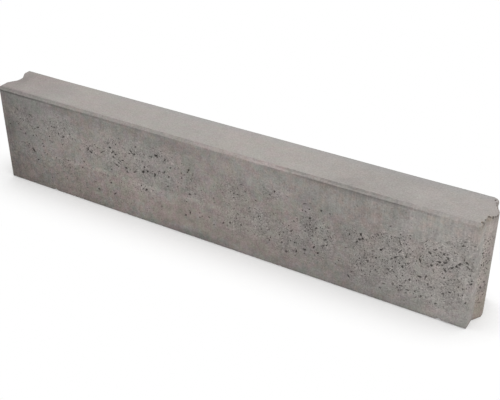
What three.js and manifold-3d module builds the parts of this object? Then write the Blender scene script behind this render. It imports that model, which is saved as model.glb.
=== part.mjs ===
// A precast concrete kerb stone with a tongue-and-groove joint, in millimetres, +Z up.
// It is one solid block, pressed in a steel mould and laid end to end with its like.
// X runs along the kerb line, from the grooved end to the end that carries the tongue.
// Y runs across it: -Y is the footway side and +Y is the road side.
// The origin lies on the bed face, midway along the overall length and across the thickness.

import * as THREE from 'three';
import { mergeVertices } from 'three/addons/utils/BufferGeometryUtils.js';
import Module from 'manifold-3d';

// The block.
const OVERALL_LENGTH = 1000; // along X, from the grooved end to the tip of the tongue
const HEIGHT = 205; // bed face to top face
const THICKNESS = 100; // footway face to road face

// The long edges of the section.
const FOOTWAY_CHAMFER = 5; // 45 degree chamfer between the footway face and the top
const ROAD_CHAMFER = 11; // 45 degree chamfer between the road face and the top
const BED_EDGE_RADIUS = 3; // rounding of both long edges that the stone beds on

// The two ends.
const UPRIGHT_EDGE_RADIUS = 3.5; // rounding of the four upright edges
const END_ARRIS = 1; // small 45 degree arris where the ends meet the top and the bed

// The tongue, a full-height rib with sloping flanks in the middle of one end.
const TONGUE_PROUD = 11; // how far it stands out of the shoulders beside it
const TONGUE_ROOT_WIDTH = 48; // across its foot, where the flanks leave the shoulders
const TONGUE_TIP_WIDTH = 12; // across its flat nose, before the corners are rounded
const TONGUE_TIP_RADIUS = 9; // rounding where the flanks turn into the nose
const TONGUE_FOOT_RADIUS = 3; // hollow fillet where the flanks leave the shoulders
const TONGUE_TOP_FALL = 3; // how far its top slopes down, from the shoulders to the nose

// The groove, the same shape in the other end, larger all round for an easy fit.
const JOINT_PLAY = 1; // gap round a tongue that is pushed home in the groove

const ARC_STEPS = 4; // half the number of facets in each rounded corner

const CONCRETE_GREY = 0x96928e;

const wasm = await Module();
wasm.setup();

// Makes a closed outline through corners given as [x, y, radius]. Each corner with a radius
// becomes an arc that is tangent to the two straight sides beside it.
function roundedOutline(corners) {
  const shape = new THREE.Shape();
  const points = corners.map(([x, y]) => new THREE.Vector2(x, y));
  corners.forEach(([x, y, radius], i) => {
    const corner = points[i];
    const back = points.at(i - 1).clone().sub(corner).normalize();
    const ahead = points[(i + 1) % points.length].clone().sub(corner).normalize();
    if (radius === 0) {
      if (i === 0) shape.moveTo(x, y);
      else shape.lineTo(x, y);
      return;
    }
    const halfAngle = Math.acos(back.dot(ahead)) / 2;
    const towardsCentre = back.clone().add(ahead).normalize();
    const centre = corner.clone().addScaledVector(towardsCentre, radius / Math.sin(halfAngle));
    const reach = radius / Math.tan(halfAngle);
    const start = corner.clone().addScaledVector(back, reach).sub(centre);
    const end = corner.clone().addScaledVector(ahead, reach).sub(centre);
    const clockwise = back.cross(ahead) > 0;
    shape.absarc(centre.x, centre.y, radius, start.angle(), end.angle(), clockwise);
  });
  return shape;
}

// Turns a closed geometry into an exact solid that can be joined and cut.
function toSolid(geometry) {
  geometry.deleteAttribute('normal');
  geometry.deleteAttribute('uv');
  const merged = mergeVertices(geometry);
  const mesh = new wasm.Mesh({
    numProp: 3,
    vertProperties: new Float32Array(merged.attributes.position.array),
    triVerts: new Uint32Array(merged.index.array),
  });
  return new wasm.Manifold(mesh);
}

// Turns a finished solid back into a geometry.
function toGeometry(solid) {
  const mesh = solid.getMesh();
  const geometry = new THREE.BufferGeometry();
  geometry.setAttribute('position', new THREE.BufferAttribute(mesh.vertProperties, 3));
  geometry.setIndex(new THREE.BufferAttribute(mesh.triVerts, 1));
  geometry.computeVertexNormals();
  return geometry;
}

// Runs an outline drawn in Y and Z along X, from one x to another.
function extrudeAlongX(shape, fromX, toX) {
  const geometry = new THREE.ExtrudeGeometry(shape, {
    depth: toX - fromX,
    curveSegments: ARC_STEPS,
    bevelEnabled: false,
  });
  const yAxis = new THREE.Vector3(0, 1, 0);
  const zAxis = new THREE.Vector3(0, 0, 1);
  const xAxis = new THREE.Vector3(1, 0, 0);
  geometry.applyMatrix4(new THREE.Matrix4().makeBasis(yAxis, zAxis, xAxis));
  geometry.translate(fromX, 0, 0);
  return geometry;
}

const groovedEnd = -OVERALL_LENGTH / 2;
const tongueNose = OVERALL_LENGTH / 2;
const shoulder = tongueNose - TONGUE_PROUD;
const halfThickness = THICKNESS / 2;

// The section of the block, seen along X: square bed, a small chamfer on the footway side and
// a larger one on the road side.
function makeSection() {
  const outline = roundedOutline([
    [-halfThickness, 0, BED_EDGE_RADIUS],
    [halfThickness, 0, BED_EDGE_RADIUS],
    [halfThickness, HEIGHT - ROAD_CHAMFER, 0],
    [halfThickness - ROAD_CHAMFER, HEIGHT, 0],
    [-halfThickness + FOOTWAY_CHAMFER, HEIGHT, 0],
    [-halfThickness, HEIGHT - FOOTWAY_CHAMFER, 0],
  ]);
  return toSolid(extrudeAlongX(outline, groovedEnd - JOINT_PLAY, tongueNose + JOINT_PLAY));
}

// The plan of the block, seen from above: the tongue stands out of one end, and the groove that
// takes the next stone's tongue is sunk into the other.
function makePlan() {
  const tongueRoot = TONGUE_ROOT_WIDTH / 2;
  const tongueTip = TONGUE_TIP_WIDTH / 2;
  const grooveMouth = tongueRoot + JOINT_PLAY;
  const grooveFloor = tongueTip + JOINT_PLAY;
  const grooveBottom = groovedEnd + TONGUE_PROUD + JOINT_PLAY;
  const mouthRadius = TONGUE_FOOT_RADIUS + JOINT_PLAY;
  const floorRadius = TONGUE_TIP_RADIUS + JOINT_PLAY;
  const outline = roundedOutline([
    [groovedEnd, -halfThickness, UPRIGHT_EDGE_RADIUS],
    [shoulder, -halfThickness, UPRIGHT_EDGE_RADIUS],
    [shoulder, -tongueRoot, TONGUE_FOOT_RADIUS],
    [tongueNose, -tongueTip, TONGUE_TIP_RADIUS],
    [tongueNose, tongueTip, TONGUE_TIP_RADIUS],
    [shoulder, tongueRoot, TONGUE_FOOT_RADIUS],
    [shoulder, halfThickness, UPRIGHT_EDGE_RADIUS],
    [groovedEnd, halfThickness, UPRIGHT_EDGE_RADIUS],
    [groovedEnd, grooveMouth, mouthRadius],
    [grooveBottom, grooveFloor, floorRadius],
    [grooveBottom, -grooveFloor, floorRadius],
    [groovedEnd, -grooveMouth, mouthRadius],
  ]);
  const geometry = new THREE.ExtrudeGeometry(outline, {
    depth: HEIGHT - 2 * END_ARRIS,
    curveSegments: ARC_STEPS,
    bevelEnabled: true,
    bevelThickness: END_ARRIS,
    bevelSize: END_ARRIS,
    bevelOffset: -END_ARRIS,
    bevelSegments: 1,
  });
  geometry.translate(0, 0, END_ARRIS);
  return toSolid(geometry);
}

// The wedge of air above the tongue: the tongue's top falls from the top face to its nose.
function makeTongueFall() {
  const slope = TONGUE_TOP_FALL / TONGUE_PROUD;
  const beyond = TONGUE_PROUD + JOINT_PLAY;
  const wedge = new THREE.Shape();
  wedge.moveTo(0, HEIGHT);
  wedge.lineTo(beyond, HEIGHT - slope * beyond);
  wedge.lineTo(beyond, HEIGHT + JOINT_PLAY);
  wedge.lineTo(0, HEIGHT + JOINT_PLAY);
  const geometry = new THREE.ExtrudeGeometry(wedge, { depth: THICKNESS, bevelEnabled: false });
  geometry.rotateX(Math.PI / 2);
  geometry.translate(shoulder, halfThickness, 0);
  return toSolid(geometry);
}

const stone = makePlan().intersect(makeSection()).subtract(makeTongueFall());

const concrete = new THREE.MeshStandardMaterial({
  name: 'concrete',
  color: CONCRETE_GREY,
  roughness: 0.92,
  metalness: 0,
});

const kerbStone = new THREE.Mesh(toGeometry(stone), concrete);
kerbStone.name = 'kerb_stone';

const kerb = new THREE.Group();
kerb.add(kerbStone);

export default kerb;
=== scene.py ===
import functools
import itertools
import math
import random

import bmesh
import bpy
from mathutils import Euler, Matrix, Vector, noise
from mathutils.bvhtree import BVHTree


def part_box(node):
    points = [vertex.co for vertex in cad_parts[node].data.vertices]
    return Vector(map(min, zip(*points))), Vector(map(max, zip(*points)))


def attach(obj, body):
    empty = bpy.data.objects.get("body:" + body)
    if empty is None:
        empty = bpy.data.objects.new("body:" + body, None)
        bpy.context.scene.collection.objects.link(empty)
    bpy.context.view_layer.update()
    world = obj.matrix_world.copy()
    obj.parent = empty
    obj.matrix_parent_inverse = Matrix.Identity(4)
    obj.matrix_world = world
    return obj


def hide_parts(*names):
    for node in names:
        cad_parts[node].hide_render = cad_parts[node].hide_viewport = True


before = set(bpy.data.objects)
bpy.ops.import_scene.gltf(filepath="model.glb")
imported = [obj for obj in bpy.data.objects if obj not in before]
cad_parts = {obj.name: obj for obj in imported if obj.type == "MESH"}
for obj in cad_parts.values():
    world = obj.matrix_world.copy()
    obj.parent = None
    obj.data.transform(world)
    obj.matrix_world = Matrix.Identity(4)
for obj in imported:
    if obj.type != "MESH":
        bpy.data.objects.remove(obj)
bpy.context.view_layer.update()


# ---------------- The pressed block
# The kerb stone is one block of earth-moist concrete, vibrated and pressed in a steel mould and
# pushed out while it is still green. Its faces are flat to a fraction of a millimetre, and the
# joint between the mould and the press head leaves a fine groove under the footway chamfer.

pressed_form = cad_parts["kerb_stone"]
low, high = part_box("kerb_stone")
footway_chamfer = 0.005
road_chamfer = 0.011
tongue_proud = 0.011
shoulder = high.x - tongue_proud
chamfer_foot = high.z - footway_chamfer

same_place = 1e-5
on_plane = 1e-6
flat_within = math.radians(1)

block = bmesh.new()
block.from_mesh(pressed_form.data)
bmesh.ops.remove_doubles(block, verts=block.verts, dist=same_place)
bmesh.ops.dissolve_limit(block, angle_limit=flat_within, verts=block.verts, edges=block.edges)


def cut_across(mesh, axis, places):
    """Cuts every face that the planes at these places on one axis pass through."""
    normal = Vector((0, 0, 0))
    normal[axis] = 1
    for place in places:
        whole = mesh.verts[:] + mesh.edges[:] + mesh.faces[:]
        bmesh.ops.bisect_plane(mesh, geom=whole, dist=on_plane, plane_co=normal * place,
                               plane_no=normal)


def evenly(start, end, step):
    """Places between start and end, no more than a step apart, without the two ends."""
    count = math.ceil((end - start) / step)
    return [start + (end - start) * i / count for i in range(1, count)]


# The skin is divided finely enough to take its waves, with lines beside each arris that keep it
# crisp and three for the groove under the chamfer. The long edges are divided last.
skin_step_along = 0.0055
skin_step_across = 0.017
beside_arris = 0.0014
past_groove = low.x + 0.0135
seam_top, seam_middle, seam_bottom = (chamfer_foot - below for below in (0.0004, 0.0010, 0.0018))
almost_full_length = 0.9

cut_across(block, 1, evenly(low.y, high.y, skin_step_across))
cut_across(block, 1, [low.y + footway_chamfer + beside_arris, high.y - road_chamfer - beside_arris])
cut_across(block, 2, evenly(low.z, seam_bottom, skin_step_across))
cut_across(block, 2, [seam_bottom, seam_middle, seam_top, high.z - road_chamfer - beside_arris])
cut_across(block, 0, [low.x + beside_arris, past_groove, shoulder - beside_arris])
cut_across(block, 0, evenly(low.x + beside_arris, past_groove, skin_step_along))
cut_across(block, 0, evenly(shoulder, high.x, skin_step_along))
long_edges = [edge for edge in block.edges if edge.calc_length() > almost_full_length]
stations = math.ceil(long_edges[0].calc_length() / skin_step_along)
bmesh.ops.subdivide_edges(block, edges=long_edges, cuts=stations - 1, use_grid_fill=True)

wave_length = 0.07
wave_depth = 0.0002
arris_angle = math.radians(25)
arris_wear = 0.00018
arris_wear_length = 0.009
least_wear, usual_wear = 0.2, 0.6
seam_depth = 0.0009

# The road-side top arris sags a little, from nothing at the grooved end to nothing by the tongue.
road_arris_fall = 0.0005
fall_fades_in = 0.1
fall_fades_out = 0.12
fall_until = 0.45


def seam_strength(x):
    """The groove under the chamfer is deep by the grooved end and again between the middle and the
    tongue, and runs out elsewhere."""
    by_groove = max(0, -0.2 - 2.4 * x)
    before_tongue = math.exp(-((x - 0.27) / 0.12) ** 4)
    unsteady = 0.7 + 0.6 * noise.noise(Vector((x / 0.03, 0, 0)))
    return min(1, by_groove + before_tongue) * unsteady


block.normal_update()
on_arris = set()
for edge in block.edges:
    if edge.calc_face_angle(0) > arris_angle:
        on_arris.update(edge.verts)
shifts = {}
for vert in block.verts:
    depth = wave_depth * (0.5 + 0.5 * noise.noise(vert.co / wave_length))
    if vert in on_arris:
        depth += arris_wear * max(least_wear, usual_wear + noise.noise(vert.co / arris_wear_length))
    shifts[vert] = vert.normal * -depth
    on_top = vert.co.z > high.z - same_place
    if vert in on_arris and on_top and vert.co.y > high.y - road_chamfer - same_place:
        fading_in = (vert.co.x - low.x) / fall_fades_in
        fading_out = (fall_until - vert.co.x) / fall_fades_out
        fall = road_arris_fall * max(0, min(1, fading_in, fading_out))
        shifts[vert] -= Vector((0, fall, fall))
    if abs(vert.co.z - seam_middle) < same_place and vert.co.y < low.y + same_place:
        shifts[vert].y += seam_depth * seam_strength(vert.co.x)
for vert, shift in shifts.items():
    vert.co += shift
bmesh.ops.triangulate(block, faces=block.faces)


def put_in_scene(name, data):
    made = bpy.data.objects.new(name, data)
    bpy.context.scene.collection.objects.link(made)
    return made


skin = BVHTree.FromBMesh(block)
kerb = put_in_scene("kerb_stone_cast", bpy.data.meshes.new("kerb_stone_cast"))
block.to_mesh(kerb.data)
block.free()

# The shading of the plain form is of no use once the skin has its waves.
if "custom_normal" in kerb.data.attributes:
    kerb.data.attributes.remove(kerb.data.attributes["custom_normal"])


# ---------------- The voids
# The dry mix leaves gaps between its grains against the mould. They stay in the skin as small
# angular voids, single or run together, in open patches across the middle of the tall faces.
# The pressed top has almost none.

bulges_across = 1.5
bulge_smoothness = 0.9
bulge_fineness = 2
bulge_share = 1.6
corner_share = 0.5


def lump(mesh, place, detail, jagged, rng):
    """Adds an angular pebble to a cutting tool. Its place holds its centre, turn and half sizes.
    At no detail it is a five-sided spike that points into the stone."""
    if detail == 0:
        pebble = bmesh.ops.create_cone(mesh, cap_ends=True, segments=5, radius1=0, radius2=1,
                                       depth=2, matrix=place)
    else:
        pebble = bmesh.ops.create_icosphere(mesh, subdivisions=detail, radius=1, matrix=place)
    centre = place.translation
    to_sphere = place.inverted()
    drift = Vector([rng.uniform(0, 99) for axis in range(3)])
    for vert in pebble["verts"]:
        spot = (to_sphere @ vert.co) * bulges_across + drift
        bulge = noise.fractal(spot, bulge_smoothness, bulge_fineness, detail + 1)
        swell = bulge_share * bulge + rng.uniform(-corner_share, corner_share)
        vert.co = centre + (vert.co - centre) * (1 + jagged * swell)


class Cutter:
    """A cutting tool made of lumps that keep clear of each other, so it is one clean solid."""

    shelf_size = 0.01
    tray_holds = 60

    def __init__(self, name):
        self.name = name
        self.tray = bmesh.new()
        self.full_trays = []
        self.count = 0
        self.shelves = {}

    def near_by(self, centre, reach):
        """The shelves, cells of a coarse grid, that a lump touches."""
        spans = [range(math.floor((part - reach) / self.shelf_size),
                       math.floor((part + reach) / self.shelf_size) + 1) for part in centre]
        return [self.shelves.setdefault(shelf, []) for shelf in itertools.product(*spans)]

    def has_room(self, centre, reach):
        return all((centre - other).length > reach + taken
                   for shelf in self.near_by(centre, reach) for other, taken in shelf)

    def add(self, centre, reach, place, detail, jagged, rng):
        """Takes one more lump. They are made a tray at a time, as a small mesh is quick to add to."""
        for shelf in self.near_by(centre, reach):
            shelf.append((centre, reach))
        lump(self.tray, place, detail, jagged, rng)
        self.count += 1
        if self.count % self.tray_holds == 0:
            self.full_trays.append(self.tray)
            self.tray = bmesh.new()

    def cut(self, piece):
        """Cuts the lumps out of the piece for good."""
        tool = put_in_scene(self.name, bpy.data.meshes.new(self.name))
        for tray in self.full_trays:
            tray.to_mesh(tool.data)
            self.tray.from_mesh(tool.data)
            tray.free()
        self.tray.to_mesh(tool.data)
        self.tray.free()
        difference = piece.modifiers.new(self.name, "BOOLEAN")
        difference.operation = "DIFFERENCE"
        difference.solver = "MANIFOLD"
        difference.object = tool
        bpy.context.view_layer.update()
        evaluated = piece.evaluated_get(bpy.context.evaluated_depsgraph_get())
        cut_mesh = bpy.data.meshes.new_from_object(evaluated)
        piece.modifiers.clear()
        piece.data = cut_mesh
        bpy.data.objects.remove(tool)


void_cutters = [Cutter(f"void_cutter_{n}") for n in range(3)]

# A long void is a well rounded pebble, a wide enough one a coarse pebble, and the rest are spikes,
# which sit deeper. How far a void keeps from its neighbours goes by its longer side.
void_clearance = 0.65
rounded_from = 0.0048
pebble_from = 0.0019
void_jagged = 0.22
pebble_sunk, spike_sunk = 0.3, 0.75


def leave_void(near, length, width, lean, rng):
    """Sinks a void into the skin next to a point. Voids that touch go to different cutters, and one
    that no cutter has room for is left out."""
    reach = max(length, width) * void_clearance
    for cutter in void_cutters:
        if cutter.has_room(near, reach):
            break
    else:
        return
    at, facing = skin.find_nearest(near)[:2]
    turn = facing.to_track_quat("Z", "Y").to_matrix().to_4x4() @ Matrix.Rotation(lean, 4, "Z")
    deep = min(length, width) / 2 * rng.uniform(0.9, 1.4)
    size = Matrix.Diagonal((length / 2, width / 2, deep, 1))
    detail = 2 if length > rounded_from else 1 if width > pebble_from else 0
    sunk = pebble_sunk if detail else spike_sunk
    place = Matrix.Translation(at - facing * deep * sunk) @ turn @ size
    cutter.add(near, reach, place, detail, void_jagged, rng)


mm = 0.001

# The larger voids of the footway face: place along the stone, height above the bed, length and
# width in millimetres, and lean in degrees.
footway_voids = [
    (-427, 81, 11, 5.4, -48), (-408, 138, 6, 4, 20), (-444, 115, 7, 3, 88), (-399, 98, 5, 4, 30),
    (-343, 134, 6, 4.4, 20), (-355, 138, 7.5, 3.2, 80), (-424, 162, 6, 3, -25), (-419, 62, 6, 3.2, 40),
    (-283, 124, 8.5, 5, 55), (-277, 119, 12, 5, -15), (-296, 92, 6, 4, 20), (-265, 39, 6, 5, 50),
    (-228, 142, 7, 5, 30), (-216, 130, 6.4, 4.4, 20), (-222, 123, 6, 4.6, 0), (-222, 134, 11, 3.8, 45),
    (-215, 108, 7, 5, 30), (-225, 41, 10, 3.2, 40), (-233, 63, 5.4, 4.4, 80), (-192, 108, 7, 5, 10),
    (-191, 100, 6, 4.5, 70), (-178, 147, 8, 4.4, -40), (-171, 143, 7, 5, 10), (-183, 142, 5, 3.6, 20),
    (-153, 111, 9, 6.5, 35), (-149, 122, 6, 4, 85), (-142, 115, 5.5, 4, 0), (-148, 73, 6, 5, 20),
    (-159, 79, 5, 4, 60), (-121, 154, 10.5, 5.6, -5), (-131, 149, 5.4, 4.2, 0), (-125, 113, 8, 6, 60),
    (-94, 117, 5, 5, 0), (-101, 151, 6, 3.5, 60), (-97, 96, 7, 3, 20), (-49, 145, 6, 4.8, 45),
    (-48, 94, 6, 4, 15), (-49, 53, 5, 4.5, 0), (-59, 45, 6, 4.5, 40), (24, 55, 6, 3.5, 50),
    (38, 60, 5, 4.5, 30), (61, 63, 6, 3, 70), (47, 125, 5, 3.5, 20), (55, 125, 4, 3, 0),
    (47, 116, 5, 3, 20), (62, 148, 4, 3, 40), (92, 124, 5, 3.5, -30), (97, 93, 5, 4, 30),
    (129, 155, 6, 3.5, 0), (120, 145, 4, 4, 0), (120, 50, 4, 4, 0), (122, 57, 5, 3.5, 45),
    (154, 38, 9, 3, 0), (164, 85, 9, 3, 55), (174, 45, 5, 5, 0), (187, 148, 7, 3, 20),
    (191, 54, 6, 4.5, 20), (198, 122, 5, 4.5, 10), (199, 109, 4.5, 4, 0), (211, 106, 6, 3.5, 70),
    (208, 66, 7, 3.5, 60), (216, 56, 6, 4.5, 45), (219, 144, 5.5, 4.5, 60), (226, 75, 5, 4, 50),
    (229, 89, 6, 3.5, 60), (273, 115, 5, 4, 50), (276, 29, 5, 4.5, 40), (293, 121, 7, 5, -60),
    (297, 114, 6, 5, 80), (291, 111, 7, 4.5, 10), (287, 105, 7.5, 4, 70), (331, 104, 7, 5, 40),
    (334, 107, 5, 2.5, 80), (323, 85, 6, 4, 20), (309, 73, 5.6, 4.2, 10), (341, 38, 8, 3, 0),
    (364, 112, 13, 3, 58), (357, 98, 9, 4.4, 40), (375, 106, 10, 3.8, 85), (370, 84, 5, 4.5, 0),
    (385, 63, 8, 3.5, 80), (384, 41, 8, 3.5, 15), (399, 107, 10.5, 5, -60), (401, 75, 9, 4.6, -10),
    (412, 80, 9, 3.8, 60), (414, 127, 7, 5.2, -60), (419, 104, 6.2, 5.6, 0), (431, 115, 7, 5.2, 10),
    (440, 117, 8, 5.2, 30), (444, 127, 8, 4.2, -60), (437, 132, 5.5, 5, 0), (443, 134, 5, 2.8, 0),
    (442, 102, 8.5, 4.6, -50), (452, 111, 6, 4.5, 10), (459, 116, 5.8, 5.4, 0), (464, 123, 8, 4.8, 55),
    (470, 133, 5, 3, -60), (475, 129, 7, 5, -40), (478, 121, 9, 3.4, -35), (454, 63, 5, 4, 40),
    (444, 57, 5.2, 4.4, 0), (433, 32, 5.6, 4.4, 50), (465, 158, 6, 4, 20), (468, 167, 4, 3, 30),
    (484, 164, 5, 3, 40), (487, 98, 5, 4, -30), (486, 92, 6, 4.8, 60), (482, 53, 6, 3.5, 60),
    (442, 88, 5.5, 4, 60), (467, 79, 5, 3.6, 80), (396, 43, 4.6, 4, 0), (407, 37, 5.4, 3.4, 80),
    (-302, 77, 6, 3.4, 35), (-104, 124, 7, 3.2, 60), (-89, 138, 7, 2.6, 50), (-301, 97, 4.4, 3, 0),
    (422, 136, 7, 3.2, 40), (459, 90, 4.6, 3.2, 60), (475, 66, 4.6, 3.6, 50), (416, 65, 4.6, 3.8, 60),
    (-200, 122, 8, 3.2, 10), (-206, 119, 5, 3.2, 0), (-175, 144, 5, 3.4, -30), (-172, 105, 12, 3.2, 30),
    (-248, 127, 9, 2.6, 35), (-231, 151, 7, 3.2, 20), (-167, 160, 6, 2.7, 60), (351, 93, 5, 3.2, 40),
    (428, 109, 6, 4, 50), (482, 95, 4, 3.2, 0), (346, 70, 5, 3.8, 0), (357, 43, 6, 4, 40),
    (371, 45, 8, 3.2, 5), (362, 130, 13, 2.8, -65), (436, 111, 5, 3.4, 20), (450, 103, 4.6, 3.4, 40),
]

# The middling voids of the footway face: place along the stone and height above the bed.
middling_voids = [
    (-484, 141), (-482, 127), (-459, 133), (-456, 121), (-451, 147), (-445, 144), (-450, 91),
    (-442, 87), (-437, 93), (-434, 151), (-422, 160), (-423, 116), (-416, 133), (-415, 118), (-409, 75),
    (-401, 104), (-391, 82), (-398, 84), (-382, 142), (-380, 125), (-380, 115), (-375, 114),
    (-372, 160), (-370, 150), (-369, 80), (-364, 149), (-358, 163), (-348, 126), (-348, 115),
    (-346, 142), (-338, 72), (-337, 154), (-337, 83), (-334, 68), (-326, 144), (-321, 135), (-304, 116),
    (-285, 119), (-274, 54), (-265, 116), (-265, 138), (-259, 133), (-251, 125), (-221, 154),
    (-211, 106), (-209, 114), (-207, 135), (-205, 168), (-204, 159), (-155, 73), (-153, 133),
    (-152, 117), (-135, 149), (-130, 118), (-126, 105), (-126, 169), (-114, 46), (-94, 151), (-65, 134),
    (-65, 123), (-56, 106), (-56, 75), (-51, 140), (-41, 137), (-37, 98), (-34, 114), (-28, 60),
    (-28, 50), (-23, 109), (-22, 55), (-8, 57), (3, 44), (4, 92), (4, 102), (32, 52), (45, 138),
    (48, 67), (51, 74), (55, 84), (55, 138), (70, 136), (72, 118), (75, 55), (79, 105), (80, 98),
    (88, 88), (99, 88), (101, 94), (113, 41), (116, 70), (119, 72), (128, 108), (140, 69), (145, 55),
    (148, 77), (158, 94), (162, 64), (168, 106), (169, 44), (170, 62), (174, 113), (184, 134),
    (190, 133), (190, 101), (190, 93), (190, 46), (193, 108), (196, 97), (197, 140), (201, 101),
    (210, 50), (225, 70), (232, 78), (233, 106), (233, 85), (235, 143), (238, 97), (251, 47), (256, 55),
    (268, 86), (282, 92), (282, 41), (290, 58), (294, 73), (296, 64), (299, 50), (302, 92), (304, 114),
    (303, 83), (306, 78), (306, 44), (317, 85), (320, 65), (322, 132), (325, 61), (329, 134),
    (332, 130), (335, 85), (335, 27), (343, 86), (344, 155), (344, 60), (347, 136), (350, 66),
    (356, 113), (358, 89), (360, 137), (362, 144), (362, 110), (365, 89), (365, 39), (366, 143),
    (368, 136), (368, 35), (369, 129), (372, 67), (374, 129), (375, 92), (378, 148), (378, 58),
    (379, 142), (379, 93), (381, 113), (381, 34), (385, 119), (405, 110), (414, 100), (416, 38),
    (420, 113), (423, 62), (423, 31), (425, 45), (428, 62), (462, 67), (475, 77), (480, 119),
]

# The open patches of the footway face: middle along the stone, height, half length and half
# height in millimetres, and how many small voids each holds.
footway_patches = [
    (-452, 150, 30, 16, 36), (-420, 135, 34, 30, 51), (-435, 85, 24, 20, 18), (-350, 145, 34, 22, 72),
    (-350, 82, 40, 14, 18), (-278, 122, 20, 18, 30), (-222, 132, 28, 34, 78), (-172, 146, 22, 20, 60),
    (-150, 116, 34, 18, 69), (-150, 76, 24, 10, 21), (-110, 150, 34, 20, 51), (-98, 108, 26, 20, 36),
    (-48, 130, 26, 34, 36), (-36, 96, 22, 12, 21), (50, 124, 28, 26, 51), (52, 66, 36, 26, 60),
    (100, 80, 26, 26, 66), (128, 146, 22, 16, 24), (160, 66, 44, 30, 99), (200, 106, 22, 26, 66),
    (228, 78, 20, 34, 54), (286, 110, 22, 22, 54), (304, 64, 26, 36, 105), (352, 112, 40, 30, 165),
    (362, 62, 40, 32, 144), (436, 124, 46, 28, 225), (440, 62, 48, 38, 195), (472, 164, 18, 12, 39),
    (482, 108, 12, 20, 39),
]

crevice_step = 1.3
crevice_wander = 0.9
from_end = 0.004
from_edge = 0.010


def leave_crevice(along, up, face_y, steps, width, rng):
    """Leaves a string of small voids that wanders between the grains of an upright long face."""
    heading = rng.uniform(0, math.tau)
    for n in range(steps):
        inside_length = low.x + from_end < along < shoulder - from_end
        if inside_length and from_edge < up < chamfer_foot - from_edge:
            thick = width * rng.uniform(0.75, 1.25)
            lean = heading if face_y < 0 else math.pi - heading
            leave_void(Vector((along, face_y, up)), thick * rng.uniform(1.0, 1.7), thick, lean, rng)
        heading += rng.gauss(0, crevice_wander)
        along += width * crevice_step * math.cos(heading)
        up += width * crevice_step * math.sin(heading)


def run_from_rim(x, z, length, width, lean, crevices, rng):
    """Leaves crevices that run out of the rim of a larger void on the footway face."""
    lean = math.radians(lean)
    for n in range(crevices):
        angle = rng.uniform(0, math.tau)
        run, rise = 0.5 * length * math.cos(angle), 0.5 * width * math.sin(angle)
        at_x = x + run * math.cos(lean) - rise * math.sin(lean)
        at_z = z + run * math.sin(lean) + rise * math.cos(lean)
        steps, thick = rng.randint(1, 2), width * rng.uniform(0.32, 0.55) * mm
        leave_crevice(at_x * mm, at_z * mm, low.y, steps, thick, rng)


rng = random.Random(11)
middling_voids = [(*place, rng.uniform(3.0, 4.6), rng.uniform(2.5, 3.4), rng.uniform(-90, 90))
                  for place in middling_voids]

# A void's ragged rim swells past its size, so it is made a little smaller than it is to look, and
# slimmer towards the tongue, where the mix closed better.
made_length = 0.92
made_width = 0.96
slimmer_per_mm = 0.00016

for x, z, length, width, lean in footway_voids + middling_voids:
    long, wide = made_length * length * mm, (made_width - slimmer_per_mm * x) * width * mm
    leave_void(Vector((x * mm, low.y, z * mm)), long, wide, math.radians(lean), rng)
for void in footway_voids:
    run_from_rim(*void, rng.randint(1, 3), rng)
for void in middling_voids:
    run_from_rim(*void, 1, rng)

# Some small voids find no room, so a patch tries for more than it is to hold.
crowding = 1.42
patch_reach = 1.2
patch_gathering = 0.6
usual_run = 1.25
longest_crevice = 4
small_void = 0.0013
small_void_spread = 0.35
small_void_limit = 0.4


def fill_patch(x, z, half_x, half_z, count, face_y, rng):
    """Strews crevices over an oval patch of an upright long face, thicker in its middle."""
    left = count * crowding
    while left > 0:
        steps = min(1 + int(rng.expovariate(1 / usual_run)), longest_crevice)
        left -= steps
        angle = rng.uniform(0, math.tau)
        out = patch_reach * rng.random() ** patch_gathering
        along = (x + half_x * out * math.cos(angle)) * mm
        up = (z + half_z * out * math.sin(angle)) * mm
        width = small_void * math.exp(min(rng.gauss(0, small_void_spread), small_void_limit))
        leave_crevice(along, up, face_y, steps, width, rng)


for patch in footway_patches:
    fill_patch(*patch, low.y, rng)

road_rng = random.Random(23)
road_patches = []
for n in range(24):
    middle = road_rng.uniform(-470, 460), road_rng.gauss(96, 26)
    half_sizes = road_rng.uniform(14, 46), road_rng.uniform(10, 26)
    road_patches.append((*middle, *half_sizes, road_rng.randint(10, 40)))
for patch in road_patches:
    fill_patch(*patch, high.y, road_rng)


def strew(count, corner, opposite, smallest, largest, rng):
    """Strews single voids over the skin inside a box, from one corner to the opposite one."""
    for n in range(count):
        near = Vector([rng.uniform(a, b) for a, b in zip(corner, opposite)])
        width = rng.uniform(smallest, largest)
        leave_void(near, width * rng.uniform(1, 1.8), width, rng.uniform(0, math.pi), rng)


# Single voids all over the footway face, more low down by the grooved end, some on the road face,
# a few on the top, and some on the shoulders and beside the groove.
strew(1100, (low.x, low.y, 0.008), (shoulder, low.y, 0.190), 0.0008, 0.0018, rng)
strew(180, (low.x, low.y, 0.010), (-0.12, low.y, 0.095), 0.0012, 0.0024, rng)
strew(340, (low.x, high.y, 0.012), (shoulder, high.y, 0.186), 0.0008, 0.0020, road_rng)
strew(40, (low.x, -0.044, high.z), (shoulder, 0.038, high.z), 0.0006, 0.0012, rng)
end_rng = random.Random(41)
for x in (low.x, shoulder):
    for y in (-0.037, 0.037):
        strew(26, (x, y - 0.010, 0.01), (x, y + 0.010, 0.19), 0.0008, 0.0024, end_rng)

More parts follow.
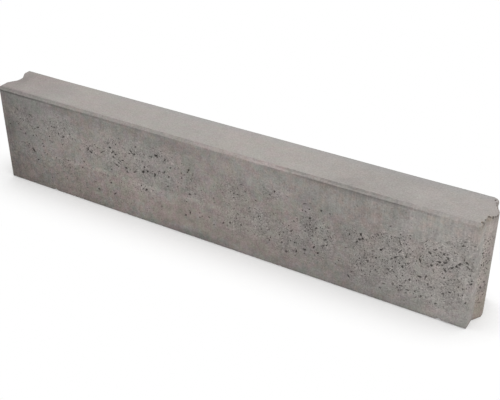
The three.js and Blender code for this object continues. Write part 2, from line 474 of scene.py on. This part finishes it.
# Larger voids on the footway flank of the tongue: place along, across and up, and size, in
# millimetres.
tongue_voids = [
    (490.7, -21.2, 136, 4.0), (497.1, -10.7, 132, 3.8), (495.1, -14.0, 118, 3.5),
    (490.6, -21.0, 113, 4.0), (493.3, -17.0, 110, 3.0), (492.8, -17.8, 84, 3.0),
    (496.7, -11.5, 76, 4.0), (498.5, -8.0, 68, 3.0), (493.3, -17.0, 66, 4.2), (497.0, -10.7, 56, 3.2),
    (499.9, -6.0, 159, 4.0), (494.5, -15.0, 128, 2.6),
]
groove_floor = low.x + tongue_proud
for *place, size in tongue_voids:
    length, lean = size * end_rng.uniform(1, 1.5) * mm, end_rng.uniform(0, math.pi)
    leave_void(Vector(place) * mm, length, size * end_rng.uniform(0.7, 0.9) * mm, lean, end_rng)
strew(60, (shoulder, -0.046, 0.02), (shoulder, -0.026, 0.19), 0.0009, 0.0018, end_rng)
strew(150, (shoulder, -0.026, 0.030), (high.x, -0.004, 0.165), 0.0009, 0.0024, end_rng)
strew(70, (shoulder, 0.0, 0.03), (high.x, 0.024, 0.192), 0.0010, 0.0030, end_rng)
strew(40, (groove_floor, -0.022, 0.02), (groove_floor, 0.022, 0.19), 0.0010, 0.0030, end_rng)

for cutter in void_cutters:
    cutter.cut(kerb)


def paint(name, levels):
    """Gives each point of the skin a level, under a name that the material looks up."""
    kerb.data.attributes.new(name, "FLOAT", "POINT").data.foreach_set("value", levels)


# How deep each point of a void lies below the skin.
paint("hollow", [skin.find_nearest(vert.co)[3] for vert in kerb.data.vertices])


# ---------------- The chipped arrises
# Green and hardened concrete alike break at the arrises. A spall is gone from the road-side corner
# by the tongue, the shoulders' top arris is crumbled, and the bed arris has small nicks.

chip_cutters = [Cutter(f"chip_cutter_{n}") for n in range(5)]
chip_clearance = 1.3


def knock_off(centre, half_sizes, rng, detail=3, jagged=0.12):
    """Breaks a chip off an arris or a corner, with the half sizes of the lump that comes away."""
    reach = max(half_sizes) * chip_clearance
    for cutter in chip_cutters:
        if cutter.has_room(centre, reach):
            place = Matrix.Translation(centre) @ Matrix.Diagonal((*half_sizes, 1))
            cutter.add(centre, reach, place, detail, jagged, rng)
            return


chip_rng = random.Random(5)

# The spall at the road-side corner: how far it runs from the corner along each axis. The break is
# nearly flat, so the lump that comes away is a large one whose middle lies well outside, and the
# root of six brings its skin through the three points where the break meets the arrises.
spall = Vector((0.0172, 0.0165, 0.018))
corner = Vector((shoulder, high.y, high.z))
knock_off(corner + spall, spall * math.sqrt(6), chip_rng, detail=5, jagged=0.03)

# Chips one by one: centre and half sizes in millimetres.
chips = [
    ((492.0, 52.5, 190.0), (10.0, 21.5, 16.0)),
    ((484.4, 30.5, 205.2), (1.8, 3.0, 2.6)),
    ((489.8, 30.0, 205.6), (2.4, 3.4, 2.4)),
    ((488.8, 24.0, 204.2), (2.3, 3.0, 3.2)),
    ((491.6, 18.4, 203.8), (2.4, 3.4, 3.2)),
    ((495.4, 13.0, 203.8), (2.6, 3.6, 3.2)),
    ((487.4, -41.6, 205.6), (3.2, 3.0, 3.6)),
    ((489.6, -42.6, 198.0), (2.4, 2.0, 4.6)),
    ((490.2, -36.4, 199.2), (2.8, 2.8, 3.8)),
    ((490.0, -31.5, 205.0), (3.4, 2.8, 3.2)),
    ((489.8, -26.5, 202.5), (1.8, 2.2, 2.6)),
    ((490.5, -20.5, 205.0), (2.6, 2.8, 2.8)),
    ((493.4, -18.6, 202.4), (2.4, 2.2, 2.6)),
    ((496.4, -14.6, 200.4), (3.2, 3.0, 3.4)),
    ((498.8, -10.4, 200.2), (2.1, 2.0, 2.2)),
    ((500.6, -6.0, 200.6), (2.4, 2.8, 2.6)),
    ((499.4, 8.4, 203.4), (3.0, 3.6, 4.0)),
    ((-382.0, -50.5, -0.5), (7.0, 7.0, 5.2)),
    ((441.0, -50.5, -0.5), (5.5, 7.5, 6.0)),
    ((455.0, -50.5, -1.0), (13.0, 6.0, 3.4)),
    ((141.0, -50.0, 0.0), (3.5, 4.5, 2.4)),
    ((196.0, -50.0, 0.0), (3.0, 4.5, 2.4)),
]
for centre, half_sizes in chips:
    knock_off(Vector(centre) * mm, [half * mm for half in half_sizes], chip_rng)

# Nicks strewn along the arrises: start, end, how many, and the largest half size in millimetres.
nicked_arrises = [
    ((-496, -49.3, 0.7), (485, -49.3, 0.7), 60, 2.4),
    ((-496, 49.3, 0.7), (485, 49.3, 0.7), 60, 2.8),
    ((-496, -50, 200), (485, -50, 200), 30, 0.8),
    ((-496, -45, 205), (485, -45, 205), 26, 0.7),
    ((0, -45, 205), (170, -45, 205), 22, 1.0),
    ((-496, 39, 205), (470, 39, 205), 30, 1.2),
    ((-496, 50, 194), (470, 50, 194), 26, 1.2),
    ((-500, -49, 8), (-500, -49, 190), 14, 1.5),
    ((-500, 49, 8), (-500, 49, 190), 14, 1.8),
    ((489, -49, 8), (489, -49, 190), 12, 1.2),
    ((489, 49, 8), (489, 49, 160), 14, 1.8),
    ((-500, -38, 205), (-500, -25, 205), 4, 1.0),
    ((-500, 26, 205), (-500, 38, 205), 4, 1.2),
    ((492, -20, 0), (499, 14, 0), 6, 1.5),
]
large_nick = 0.0015

for start, end, count, largest in nicked_arrises:
    for n in range(count):
        centre = Vector(start).lerp(Vector(end), (n + chip_rng.random()) / count)
        half = largest * chip_rng.uniform(0.4, 1) * mm
        along = (Vector(end) - Vector(start)).normalized()
        half_sizes = [half * (1 + abs(part) * chip_rng.uniform(0.3, 1.6)) for part in along]
        knock_off(centre * mm, half_sizes, chip_rng, detail=2 if half > large_nick else 1)

for cutter in chip_cutters:
    cutter.cut(kerb)

shortest_edge = 5e-6


def folded_flat(mesh):
    """The pairs of faces that lie back to back on the same three corners."""
    by_corners = {}
    for face in mesh.faces:
        by_corners.setdefault(frozenset(face.verts), []).append(face)
    return [face for faces in by_corners.values() if len(faces) == 2 for face in faces]


def ready_to_close(mesh):
    """The edges too short to see that can shrink to a point and leave the skin whole, with no two
    of them side by side."""
    closing = []
    held = set()
    for edge in mesh.edges:
        if edge.calc_length() < shortest_edge:
            ends = [{near.other_vert(vert) for near in vert.link_edges} for vert in edge.verts]
            around = ends[0] | ends[1]
            if len(ends[0] & ends[1]) == 2 and held.isdisjoint(around):
                held |= around
                closing.append(edge)
    return closing


def skins_of(mesh):
    """The faces of a mesh, sorted into the separate skins that they make up."""
    waiting = set(mesh.faces)
    skins = []
    while waiting:
        joined = [waiting.pop()]
        for face in joined:
            for beside in itertools.chain(*[edge.link_faces for edge in face.edges]):
                if beside in waiting:
                    waiting.remove(beside)
                    joined.append(beside)
        skins.append(joined)
    return skins


def sweep(piece):
    """Leaves one closed skin after the cuts, with no crumbs, no cavities that never open to the
    air, no folds without thickness and no edges too short to see."""
    mesh = bmesh.new()
    mesh.from_mesh(piece.data)
    bmesh.ops.triangulate(mesh, faces=mesh.faces)
    bmesh.ops.delete(mesh, geom=folded_flat(mesh), context="FACES")
    while closing := ready_to_close(mesh):
        bmesh.ops.collapse(mesh, edges=closing)
        bmesh.ops.delete(mesh, geom=folded_flat(mesh), context="FACES")
    smaller_skins = sorted(skins_of(mesh), key=len)[:-1]
    crumbs = {vert for joined in smaller_skins for face in joined for vert in face.verts}
    bmesh.ops.delete(mesh, geom=list(crumbs), context="VERTS")
    mesh.to_mesh(piece.data)
    mesh.free()


sweep(kerb)

smooth_below = math.radians(16)
kerb.data.shade_smooth()
kerb.data.set_sharp_from_angle(angle=smooth_below)

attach(kerb, "root")
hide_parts("kerb_stone")


# ---------------- The concrete
# Pressed grey concrete. Cement paste closes most of the skin and dries in darker and warmer
# clouds, and where the skin is open the pale sand shows. The push out of the mould draws fine
# upright streaks, and painted shade darkens the voids inside.

full_crowd = 0.03
thinning_out = 0.6


def openness(place):
    """How open the skin is at a place, from 0, closed by paste, to 1, bare sand and gaps. A patch
    is fully open in its middle when it holds its full crowd of voids to the square millimetre."""
    patches = footway_patches if place.y < 0 else road_patches
    most = 0.0
    for x, z, half_x, half_z, count in patches:
        off = ((place.x / mm - x) / half_x) ** 2 + ((place.z / mm - z) / half_z) ** 2
        crowd = min(1, count / (full_crowd * math.pi * half_x * half_z))
        most = max(most, crowd * math.exp(-thinning_out * off))
    return most


# How deep each point of a chip lies below the skin. The voids have their own depth already.
depths = [point.value for point in kerb.data.attributes["hollow"].data]
paint("broken", [0 if depth > 0 else skin.find_nearest(vert.co)[3]
                 for vert, depth in zip(kerb.data.vertices, depths)])
paint("open_skin", [openness(vert.co) for vert in kerb.data.vertices])

concrete = bpy.data.materials.new("pressed_concrete")
concrete.use_nodes = True
nodes = concrete.node_tree.nodes


def feed(node, values):
    """Gives a node's sockets a number or a colour each, or joins another node's output to them."""
    for name, value in values.items():
        socket = node.inputs[name]
        if isinstance(value, bpy.types.NodeSocket):
            socket.id_data.links.new(value, socket)
        else:
            socket.default_value = value


def add_node(kind, *in_turn, **settings):
    """Adds a node with its settings, and feeds its first sockets in turn."""
    made = nodes.new("ShaderNode" + kind)
    for name, setting in settings.items():
        setattr(made, name, setting)
    feed(made, dict(enumerate(in_turn)))
    return made


def maths(operation, *terms):
    return add_node("Math", *terms, operation=operation).outputs["Value"]


def total(*terms):
    return functools.reduce(functools.partial(maths, "ADD"), terms)


def product(*terms):
    return functools.reduce(functools.partial(maths, "MULTIPLY"), terms)


def all_but(share):
    """What is left of the whole when a share is taken away."""
    return maths("SUBTRACT", 1, share)


def off_from(value, middle):
    """How far a value is from a middle, to either side."""
    return maths("ABSOLUTE", maths("SUBTRACT", value, middle))


def slope(value, start, end, at_start=0.0, at_end=1.0):
    """Runs smoothly from one level to another as the value passes from start to end."""
    made = add_node("MapRange", value, start, end, at_start, at_end, interpolation_type="SMOOTHSTEP")
    return made.outputs["Result"]


def band(value, start, full, still_full, end):
    """Rises smoothly from none at the start to one, and falls to none again at the end."""
    return product(slope(value, start, full), slope(value, end, still_full))


def moved(vector, shift, stretch):
    """Shifts and stretches the coordinates that a pattern is laid out on."""
    made = add_node("Mapping", vector, shift)
    feed(made, {"Scale": stretch})
    return made.outputs["Vector"]


coordinates = add_node("TexCoord").outputs
on_stone = coordinates["Object"]


def unevenness(length, shift, detail=3, drawn_out=(1, 1, 1)):
    """Cloudy noise about zero, up to about one, whose patches are about a given length in metres."""
    stretch = [1 / (length * longer) for longer in drawn_out]
    place = moved(on_stone, (shift, shift * 0.37, shift * 0.61), stretch)
    made = add_node("TexNoise", place)
    feed(made, {"Scale": 1, "Detail": detail})
    return maths("MULTIPLY_ADD", made.outputs[0], 2, -1)


def grains(size, shift):
    """Grains of a given size in metres: how far from a grain's middle, and a chance for each."""
    place = moved(on_stone, (shift, shift * 0.53, shift * 0.29), [1 / size] * 3)
    made = add_node("TexVoronoi", place)
    feed(made, {"Scale": 1})
    chance = add_node("SeparateColor", made.outputs["Color"])
    return made.outputs["Distance"], chance.outputs["Red"]


def blend(factor, under, over, kind="MIX"):
    made = add_node("Mix", factor, data_type="RGBA", blend_type=kind)
    feed(made, {6: under, 7: over})
    return made.outputs[2]


def painted(name):
    return add_node("Attribute", attribute_name=name).outputs["Fac"]


def parts_of(vector):
    """The parts of a vector along the stone, across it and up."""
    return add_node("SeparateXYZ", vector).outputs


# Every place below is in metres from the middle of the stone or above its bed.
along, across, height = parts_of(on_stone)
facing_along, _, facing_up = parts_of(coordinates["Normal"])
upright = slope(facing_up, 0.85, 0.55)
on_chamfer = band(facing_up, 0.45, 0.60, 0.80, 0.92)
on_tongue = slope(along, shoulder - 0.001, shoulder + 0.003)
on_end = slope(along, shoulder - 0.0015, shoulder - 0.0003)
on_grooved_end = slope(facing_along, -0.5, -0.8)
open_amount = painted("open_skin")


def by_face(on_top, on_side):
    """One level on the pressed top and another on the upright faces."""
    return slope(upright, 0, 1, on_top, on_side)


# The greys: closed paste, which dries warm and slightly pink or cool, and then the bare sand, the
# pressed top and the skin that the mould has stained.
warm_paste = (0.346, 0.298, 0.270, 1)
cool_paste = (0.313, 0.299, 0.284, 1)
bare_sand = (0.351, 0.327, 0.309, 1)
pressed_top = (0.325, 0.303, 0.287, 1)
mould_stain = (0.356, 0.312, 0.284, 1)

fine_drift = product(unevenness(0.008, 2.8, detail=2), slope(open_amount, 0, 1, 0.8, 0.3))
drift = total(unevenness(0.085, 3.1, detail=2), unevenness(0.020, 6.3, detail=3), fine_drift)
brown_foot = product(slope(height, 0.10, 0.05), band(along, -0.45, -0.35, 0.05, 0.20), 0.4)
cool_head = product(slope(along, 0.20, 0.34), -0.25)
cool_foot = product(slope(height, 0.028, 0.012), band(along, -0.24, -0.16, 0.16, 0.24), -0.45)
cool_corner = product(slope(along, -0.33, -0.39), slope(height, 0.160, 0.180), -0.4)
warm_end = product(slope(along, -0.41, -0.47), slope(height, 0.14, 0.10), 0.35)
warmth = total(drift, brown_foot, cool_head, cool_foot, cool_corner, warm_end)
paste = blend(slope(warmth, -0.5, 0.5), cool_paste, warm_paste)
colour = blend(maths("MULTIPLY", open_amount, 0.85), paste, bare_sand)
colour = blend(product(on_tongue, 0.7), colour, mould_stain)

# The stain from the mould is yellower at the foot of the tongue end and along its top.
ochre_cast = (1.02, 1.0, 0.93, 1)
ochre_foot = product(on_tongue, slope(height, 0.07, 0.03))
ochre_head = product(on_end, slope(height, 0.193, 0.198), band(across, -0.034, -0.028, -0.018, -0.010))
colour = blend(maths("MAXIMUM", ochre_foot, ochre_head), colour, ochre_cast, "MULTIPLY")
colour = blend(by_face(0.75, 0), colour, pressed_top)

# Faint greenish and pinkish patches in the paste, less on the top and where the sand shows.
greenish, pinkish = (0.955, 1.028, 0.976, 1), (1.045, 0.972, 1.024, 1)
tint_drift = total(unevenness(0.030, 7.1, detail=2), unevenness(0.013, 4.9, detail=1))
tint = blend(slope(tint_drift, -0.5, 0.5), greenish, pinkish)
closed_skin = slope(open_amount, 0, 1, 1, 0.2)
high_by_tongue = product(slope(along, 0.12, 0.22), slope(height, 0.13, 0.155), -0.45)
in_middle = product(band(along, -0.34, -0.28, 0.20, 0.26), slope(height, 0.165, 0.15), 0.35)
tint_amount = product(closed_skin, by_face(0.45, 1), total(1, high_by_tongue, in_middle), 0.75)
colour = blend(tint_amount, colour, tint, "MULTIPLY")

# The top is pinker at its grooved end and cooler towards the road side. The chamfer and the skin
# just below it are rubbed warm from the middle of the stone some way towards the tongue.
top_by_groove = product(slope(along, -0.36, -0.43), by_face(1, 0))
top_road_edge = product(slope(across, 0.033, 0.037), by_face(1, 0))
top_road_side = product(slope(across, 0.012, 0.034), by_face(1, 0), slope(along, -0.36, -0.26))
below_it = product(slope(height, 0.196, 0.1985), upright, 0.6)
rubbed = product(total(on_chamfer, below_it), band(along, -0.06, 0.02, 0.135, 0.155))
for where, cast in ((top_by_groove, (1.022, 0.984, 0.992)), (top_road_edge, (0.955, 0.97, 0.965)),
                    (top_road_side, (0.972, 1.0, 1.024)), (rubbed, (1.110, 1.045, 1.065))):
    colour = blend(where, colour, (*cast, 1), "MULTIPLY")

# Clouds where the paste lies thinner and paler, or thicker and darker: place along the stone,
# height, half length and half height in millimetres, and how much lighter the skin is. On the top
# the second and the fourth go across the stone.
face_clouds = [
    (-240, 170, 60, 20, 0.14), (-484, 125, 26, 62, -0.22), (480, 84, 22, 32, 0.14),
    (-120, 68, 60, 22, 0.11), (-160, 38, 70, 18, 0.08), (-440, 22, 26, 14, 0.18),
    (40, 22, 26, 12, -0.15), (-40, 6, 110, 13, -0.21), (-280, 6, 64, 12, -0.11),
    (436, 12, 44, 16, 0.14), (-340, 192, 52, 13, -0.20), (122, 166, 30, 16, 0.12),
    (196, 150, 30, 18, -0.08), (62, 82, 54, 12, 0.12), (215, 82, 50, 11, 0.08),
    (400, 174, 60, 18, 0.10), (256, 104, 34, 18, -0.08), (-480, 176, 20, 14, 0.05),
    (-240, 135, 70, 42, 0.09), (-45, 135, 24, 50, -0.09), (-90, 182, 80, 12, -0.11),
    (200, 110, 28, 20, -0.10), (282, 116, 28, 36, -0.08), (482, 196, 22, 14, -0.14),
]
top_clouds = [
    (-482, 2, 26, 28, -0.13), (266, -34, 42, 18, -0.11), (384, -10, 46, 36, 0.06),
    (-380, 0, 70, 34, -0.06), (-442, -26, 22, 14, 0.07),
]

# The clouds' rims wander by a few millimetres. The noise that moves them is never below zero, so
# half its reach is taken back in each cloud's middle.
wander = 0.024
ragged = add_node("TexNoise", on_stone)
feed(ragged, {"Scale": 55, "Detail": 2})
wandering = add_node("VectorMath", ragged.outputs["Color"], (wander, wander, wander), on_stone,
                     operation="MULTIPLY_ADD")


def cloud(middle, half_sizes, change):
    """A ragged oval about a point, from its full change in the middle to none at its rim. It runs
    right through the stone along an axis where its half size is nothing."""
    shrink = [1 / (half * mm) if half else 0 for half in half_sizes]
    shift = [-(at * mm + wander / 2) * by for at, by in zip(middle, shrink)]
    place = moved(wandering.outputs["Vector"], shift, shrink)
    made = add_node("TexGradient", place, gradient_type="SPHERICAL")
    return product(slope(made.outputs["Fac"], 0, 0.7), change)


on_faces = [cloud((x, 0, z), (half_x, 0, half_z), change)
            for x, z, half_x, half_z, change in face_clouds]
# Two more darken the tongue end beside the footway face only.
on_faces += [cloud((492, -46, 150), (15, 10, 17), -0.20), cloud((492, -45, 95), (16, 13, 22), -0.22)]
on_top_skin = [cloud((x, y, 0), (half_x, half_y, 0), change)
               for x, y, half_x, half_y, change in top_clouds]
clouded = total(product(total(*on_faces), upright), product(total(*on_top_skin), by_face(1, 0)))

# How light the skin is from place to place, as a factor about one.
clouds = unevenness(0.12, 7.7, detail=3)
mottle = unevenness(0.026, 1.9, detail=4)
blotches = unevenness(0.0085, 5.3, detail=3)
sand = unevenness(0.0030, 9.4, detail=2)
streaks = unevenness(0.0032, 2.2, detail=2, drawn_out=(1, 1, 26))
wide_streaks = unevenness(0.010, 6.6, detail=2, drawn_out=(1, 1, 16))
by_grooved_end = slope(along, -0.42, -0.50)
drag_marks = total(0.4, product(by_grooved_end, 0.8),
                   product(slope(height, 0.12, 0.18), slope(along, 0.1, 0.3), 0.5))
low_by_groove = product(slope(height, 0.11, 0.07), slope(along, -0.08, -0.22), upright)
blotch_share = total(by_face(0.08, 0.20), product(open_amount, 0.16), product(low_by_groove, 0.14))
sand_share = total(by_face(0.24, 0.34), product(open_amount, 0.26), product(low_by_groove, 0.22))
patchiness = total(
    product(clouds, by_face(0.05, 0.13)),
    product(mottle, by_face(0.08, 0.30)),
    product(blotches, blotch_share),
    product(sand, sand_share),
    product(streaks, drag_marks, upright, 0.24),
    product(wide_streaks, by_grooved_end, upright, 0.20),
)

# The grooved end is painted darker, as shade where less of the light reaches it than the tongue
# end, most of all low on its upright faces, and its own end face is painted lighter again to take
# back part of that shade. The skin is darker low down on the grooved half. The lower part of the
# tongue half, a strip high on the grooved half and the heads of the tongue end are a little darker
# too, and painted shade darkens the foot of the stone along its bed. The tongue end is painted
# lighter, and the upper corner of the faces by the tongue more so, as light from above and from the
# tongue end, while the top is painted darker towards the tongue end, as shade that takes back the
# soft box's light there. A pale line of paste marks a joint in the mould.
line_break = total(0.6, product(unevenness(0.05, 4.4), 0.9))
paste_line = product(slope(off_from(height, 0.0825), 0.008, 0.001),
                     band(along, -0.44, -0.28, -0.04, 0.10), line_break, upright, 0.25)
damp_belt = product(slope(height, 0.165, 0.14), band(along, -0.06, 0.08, 0.31, 0.40), -0.07)
# Darker low down on the grooved half.
darker_low_grooved_half = product(slope(height, 0.10, 0.03), slope(along, -0.05, -0.42), upright, -0.19)
# Painted light on the upper corner of the upright faces by the tongue.
painted_light_tongue_corner = product(slope(height, 0.12, 0.17), slope(along, 0.30, 0.44), upright, 0.13)
smooth_belt = product(slope(height, 0.15, 0.17), slope(along, 0.05, -0.05), upright, -0.04)
end_head = product(on_end, total(slope(height, 0.180, 0.192), slope(height, 0.194, 0.200)), upright)
nose_head = product(slope(along, 0.494, 0.499), slope(height, 0.130, 0.150))
worn_edge = product(slope(along, -0.20, -0.34), slope(across, -0.0385, -0.0445),
                    slope(height, 0.2005, 0.2030))
# The grooved end's own face is painted lighter, taking back part of the painted shade there.
ends_and_edges = total(1, product(end_head, -0.09), product(nose_head, -0.09),
                       product(on_grooved_end, 0.18), product(worn_edge, -0.10))
# Painted shade along the bed, at the foot of every face.
painted_shade_along_bed = slope(height, 0.0, 0.006, 0.80, 1)
tongue_foot = all_but(product(on_tongue, slope(height, 0.13, 0.02), 0.13))
# Painted shade darkens the grooved end and painted light brightens the tongue end.
painted_shade_grooved_end = slope(along, -0.50, -0.34, by_face(0.84, slope(height, 0.15, 0.10, 0.74, 0.69)), 1)
painted_light_tongue_end = slope(along, 0.35, 0.47, 1, 1.05)
# Painted shade on the top towards the tongue end, against the light of the soft box there.
painted_shade_top_by_tongue = by_face(slope(along, 0.15, 0.35, 1, 0.93), 1)
lightness = product(
    total(1, patchiness), ends_and_edges, painted_shade_along_bed, tongue_foot, painted_shade_grooved_end, painted_light_tongue_end, painted_shade_top_by_tongue,
    total(1, clouded, paste_line, damp_belt, darker_low_grooved_half, painted_light_tongue_corner, smooth_belt),
)

# The groove under the footway chamfer holds dirt. Beside it and below the chamfer lie smudges and
# painted shade, with a band of painted shade just under the groove towards the tongue. The chamfer
# is a little darker with painted shade, with fine dark cracks in its upper arris, and fresh and pale
# where it was knocked.
seam_place = total(slope(along, -0.02, -0.45, 0, 0.31),
                   product(band(along, 0.15, 0.20, 0.36, 0.47), 0.25))
seam_dirt = product(slope(off_from(height, seam_bottom), 0.0034, 0.0006),
                    slope(across, low.y + 0.004, low.y + 0.001), seam_place)
below_chamfer = product(
    band(height, 0.184, 0.197, chamfer_foot - 0.0003, chamfer_foot + 0.0003), upright)
smudges_and_shade = total(product(band(along, -0.15, -0.12, -0.09, -0.06), 0.09),
                product(band(along, 0.09, 0.12, 0.17, 0.20), 0.05))
# Painted shade in a band just under the groove, towards the tongue.
painted_shade_under_seam = product(band(height, 0.1905, 0.1945, 0.1950, 0.1980),
                     band(along, 0.18, 0.22, 0.32, 0.38), upright, 0.17)
first_crack = band(along, 0.082, 0.086, 0.099, 0.104)
second_crack = band(along, 0.126, 0.130, 0.158, 0.168)
long_crack = product(band(along, 0.158, 0.168, 0.30, 0.38),
                     slope(unevenness(0.012, 3.3, detail=2), -0.35, 0.2))
cracks = product(slope(off_from(across, low.y + 0.0036), 0.0020, 0.0006),
                 total(first_crack, second_crack, long_crack), 0.22)
fresh_chamfer = product(on_chamfer, band(along, 0.066, 0.078, 0.135, 0.150), 0.09)
painted_shade_chamfer = product(on_chamfer, 0.045)
for share in (seam_dirt, painted_shade_chamfer, product(below_chamfer, smudges_and_shade), painted_shade_under_seam, cracks):
    lightness = product(lightness, all_but(share))
lightness = product(lightness, total(1, fresh_chamfer))

# Single pale grains of sand and dark gaps between them, most where the skin is open.
from_middle, chance = grains(0.0024, 8.8)
pale_grain = product(slope(from_middle, 0.50, 0.28), slope(chance, 0.72, 0.80),
                     total(0.30, open_amount), 0.36)
dark_gap = product(slope(from_middle, 0.52, 0.30), slope(chance, 0.32, 0.24),
                   total(0.12, open_amount), -0.42)
lightness = product(lightness, total(1, pale_grain, dark_gap))

# The voids are dark inside, with painted shade that deepens with their depth. The chips show rough
# mortar and grains, and those along the top arris of the tongue end are darker with dirt and
# painted shade, with rust in it towards the footway side.
# Painted shade inside the voids, darker where they are deeper.
void_shade = slope(painted("hollow"), 0.0001, 0.0016, 1, 0.76)
lightness = product(lightness, void_shade)
chipped = slope(painted("broken"), 0.0001, 0.0007)
broken_grains = unevenness(0.0035, 1.2, detail=3)
by_tongue_top = product(slope(along, shoulder - 0.007, shoulder - 0.004), slope(height, 0.191, 0.195))
rough_mortar = product(chipped, broken_grains, 0.35)
paler_low_down = product(chipped, slope(height, 0.004, 0.012, 0.12, -0.05))
# Dirt and painted shade in the chips along the top arris of the tongue end.
dirt_and_shade = product(chipped, by_tongue_top, slope(across, 0.004, 0.0, 0.5, 1))
rusty = product(by_tongue_top, slope(across, -0.033, -0.039), slope(broken_grains, -0.2, 0.3),
                total(0.25, chipped))
lightness = product(lightness, total(1, rough_mortar, paler_low_down), total(1, product(dirt_and_shade, -0.36)))
rust = (1.20, 0.98, 0.80, 1)
colour = blend(rusty, colour, rust, "MULTIPLY")
colour = blend(1, colour, lightness, "MULTIPLY")
roughness = total(0.90, product(mottle, 0.06), product(open_amount, 0.06))

# Relief in millimetres: sand everywhere, gaps between the grains where the skin is open.
relief = total(
    product(sand, total(0.10, product(open_amount, 0.35), product(upright, 0.06))),
    product(unevenness(0.0009, 3.9, detail=2), 0.07),
    product(blotches, upright, 0.12),
    product(streaks, upright, drag_marks, 0.08),
    product(slope(from_middle, 0.2, 0.6), open_amount, -0.30),
    product(broken_grains, chipped, 0.8),
)
bump = add_node("Bump")
feed(bump, {"Distance": mm, "Height": relief})
feed(nodes["Principled BSDF"], {"Base Color": colour, "Roughness": roughness,
                                "Specular IOR Level": 0.3, "Normal": bump.outputs["Normal"]})
kerb.data.materials.clear()
kerb.data.materials.append(concrete)


# ---------------- The studio floor
# A white paper sweep that runs out of sight. It catches the stone's soft shadow and goes to plain
# white away from it.

floor_half = 8
floor_mesh = bmesh.new()
bmesh.ops.create_grid(floor_mesh, x_segments=1, y_segments=1, size=floor_half)
floor = put_in_scene("studio_floor", bpy.data.meshes.new("studio_floor"))
floor_mesh.to_mesh(floor.data)
floor_mesh.free()

white = (1, 1, 1, 1)
paper_lift = 0.22
shadow_reach = 0.15

paper = bpy.data.materials.new("white_paper")
paper.use_nodes = True
floor.data.materials.append(paper)
nodes = paper.node_tree.nodes
paper_shader = nodes["Principled BSDF"]
feed(paper_shader, {"Base Color": (0.8, 0.8, 0.8, 1), "Roughness": 1, "Specular IOR Level": 0})


def seen_directly():
    """One for rays that see the surface directly, in a mirror or through glass, zero for others."""
    rays = add_node("LightPath").outputs
    seen = maths("MAXIMUM", rays["Is Camera Ray"], rays["Is Glossy Ray"])
    return maths("MAXIMUM", seen, rays["Is Transmission Ray"])


def mixed(factor, first, second):
    return add_node("MixShader", factor, first, second).outputs[0]


def past(value, edge):
    """How far a place on the floor lies outside the stone's edge, on either side of it."""
    return maths("MAXIMUM", maths("SUBTRACT", maths("ABSOLUTE", value), edge), 0)


floor_along, floor_across, _ = parts_of(add_node("TexCoord").outputs["Object"])
out_along, out_across = past(floor_along, high.x), past(floor_across, high.y)
away = maths("SQRT", total(product(out_along, out_along), product(out_across, out_across)))
plain_white = add_node("Emission", white)
lift = add_node("Emission", white, paper_lift)
lifted = add_node("AddShader", paper_shader.outputs[0], lift.outputs[0])
seen_floor = mixed(slope(away, 0.0, shadow_reach), lifted.outputs[0], plain_white.outputs[0])
paper_surface = mixed(seen_directly(), paper_shader.outputs[0], seen_floor)
feed(nodes["Material Output"], {"Surface": paper_surface})


# ---------------- The light
# Plain soft daylight comes from all round. A large soft box hangs overhead, and a weaker one stands
# beyond the tongue end to open up its shadows.

world = bpy.data.worlds.new("studio_air")
bpy.context.scene.world = world
world.use_nodes = True
nodes = world.node_tree.nodes
soft_air = nodes["Background"]
feed(soft_air, {"Color": white, "Strength": 0.55})
white_air = add_node("Background", white)
air = mixed(seen_directly(), soft_air.outputs[0], white_air.outputs[0])
feed(nodes["World Output"], {"Surface": air})


def soft_box(name, centre, aim, width, length, watts):
    lamp = bpy.data.lights.new(name, "AREA")
    lamp.shape = "RECTANGLE"
    lamp.size = width
    lamp.size_y = length
    lamp.energy = watts
    box = put_in_scene(name, lamp)
    turn = (Vector(aim) - Vector(centre)).to_track_quat("-Z", "Y")
    box.matrix_world = Matrix.Translation(centre) @ turn.to_matrix().to_4x4()


soft_box("overhead_box", centre=(0.2, 0.2, 2.2), aim=(0.2, 0.2, 0), width=3, length=2, watts=40)
soft_box("tongue_end_box", centre=(2.3, -1.1, 0.35), aim=(0.2, 0, 0.1), width=1.2, length=0.6,
         watts=6.6)


# ---------------- The camera
# A short telephoto lens just under a metre above the floor, out in front of the footway face and
# past the tongue end, looking down and back along the stone.

camera = put_in_scene("camera", bpy.data.cameras.new("camera"))
camera.data.sensor_width = 36
camera.data.lens = 65.39
camera_place = Vector((0.7702, -1.2160, 0.9686))
looking_down = math.radians(32.005)
looking_left = math.radians(30.620)
leaning = math.radians(-0.211)
aim = Euler((math.pi / 2 - looking_down, 0, looking_left)).to_matrix().to_4x4()
camera.matrix_world = Matrix.Translation(camera_place) @ aim @ Matrix.Rotation(leaning, 4, "Z")
bpy.context.scene.camera = camera

bpy.context.scene.view_settings.view_transform = "Standard"
